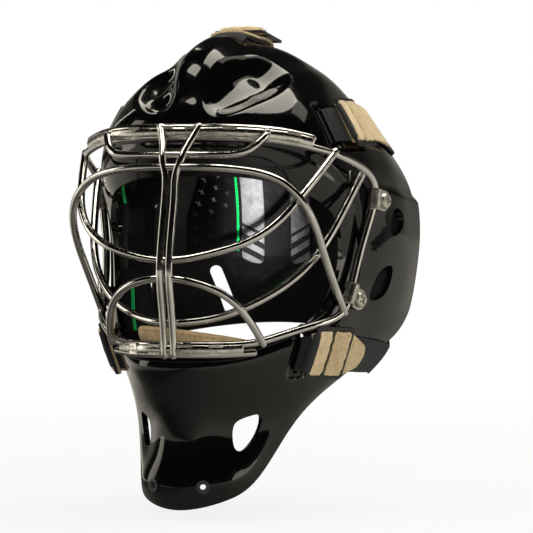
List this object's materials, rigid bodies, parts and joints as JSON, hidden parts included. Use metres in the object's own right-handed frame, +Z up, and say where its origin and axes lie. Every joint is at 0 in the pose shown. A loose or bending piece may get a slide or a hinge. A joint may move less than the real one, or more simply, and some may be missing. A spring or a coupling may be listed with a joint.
{
  "type": "hockey goalie mask",
  "caption": "Hockey goalie mask with a gloss black crested shell, a welded chrome wire cage, liner pads, a back plate on elastic straps and a chin sling.",
  "frame": {"origin": "middle of the wearer's head, between the ears", "axes": "-Y out through the face, +Z up, +X to the wearer's left"},
  "size_m": [0.2208, 0.2152, 0.3208],
  "materials": {
    "shell_gloss": "gloss black lacquer over a composite shell",
    "eyelet_black": "black enamelled eyelets",
    "snap_metal": "nickel plated snaps",
    "cage_chrome": "polished chrome plate on steel wire",
    "clip_steel": "stamped steel, slightly dulled",
    "screw_steel": "zinc plated steel with fine scratches",
    "washer_rubber": "matt black rubber",
    "liner_foam": "black foam with a brushed cloth skin",
    "sweatband_cloth": "dark knitted cloth",
    "piping_green": "green piping",
    "suede": "tan split suede",
    "slide_plastic": "black moulded plastic",
    "elastic_black": "black woven elastic",
    "plate_plastic": "satin black moulded plastic",
    "panel_silver": "silver grey brushed cloth"
  },
  "bodies": {
    "shell": {"shell": "shell_gloss", "chin_eyelets": "eyelet_black", "snap_studs": "snap_metal", "cage_frame_wire": "cage_chrome", "cage_brow_doubler": "cage_chrome", "cage_chin_doubler": "cage_chrome", "cage_brow_bar": "cage_chrome", "cage_eye_wire_upper": "cage_chrome", "cage_eye_wire_lower": "cage_chrome", "cage_mouth_wire": "cage_chrome", "cage_chin_loop": "cage_chrome", "cage_centre_bar_left": "cage_chrome", "cage_centre_bar_right": "cage_chrome", "cage_weld_plates": "cage_chrome", "cage_clips_upper": "clip_steel", "cage_clips_lower": "clip_steel", "clip_screws": "screw_steel", "clip_washers": "washer_rubber", "t_nuts": "screw_steel", "forehead_foam": "liner_foam", "sweatband": "sweatband_cloth", "crown_foam": "liner_foam", "temple_foam_left": "liner_foam", "temple_foam_right": "liner_foam", "cheek_foam_left": "liner_foam", "cheek_foam_right": "liner_foam", "ear_foam_left": "liner_foam", "ear_foam_right": "liner_foam", "chin_foam": "liner_foam", "liner_piping": "piping_green", "suede_tabs_upper": "suede", "suede_tabs_lower": "suede", "suede_tab_top": "suede", "suede_bands_upper": "suede", "suede_bands_lower": "suede", "suede_bands_top": "suede", "strap_slides": "slide_plastic", "elastic_top": "elastic_black", "elastic_upper_left": "elastic_black", "elastic_upper_right": "elastic_black", "elastic_lower_left": "elastic_black", "elastic_lower_right": "elastic_black"},
    "back_plate": {"back_plate": "plate_plastic", "back_plate_foam": "liner_foam", "back_liner_panels": "panel_silver", "back_plate_rivets": "screw_steel"},
    "chin_sling": {"chin_cup": "suede", "sling_strap_left": "elastic_black", "sling_strap_right": "elastic_black", "sling_snaps": "snap_metal"}
  },
  "joints": [
    {"name": "back_plate_swing", "type": "hinge", "parent": "shell", "child": "back_plate", "pos_m": [0, 0.047, 0.124], "axis": [1, 0, 0], "range_deg": [0, 30], "stiffness_Nm_per_rad": 0.5, "deforming": ["elastic_top", "elastic_upper_left", "elastic_upper_right", "elastic_lower_left", "elastic_lower_right"]},
    {"name": "chin_sling_swing", "type": "hinge", "parent": "shell", "child": "chin_sling", "pos_m": [0, -0.006, -0.06], "axis": [-1, 0, 0], "range_deg": [0, 20]}
  ]
}
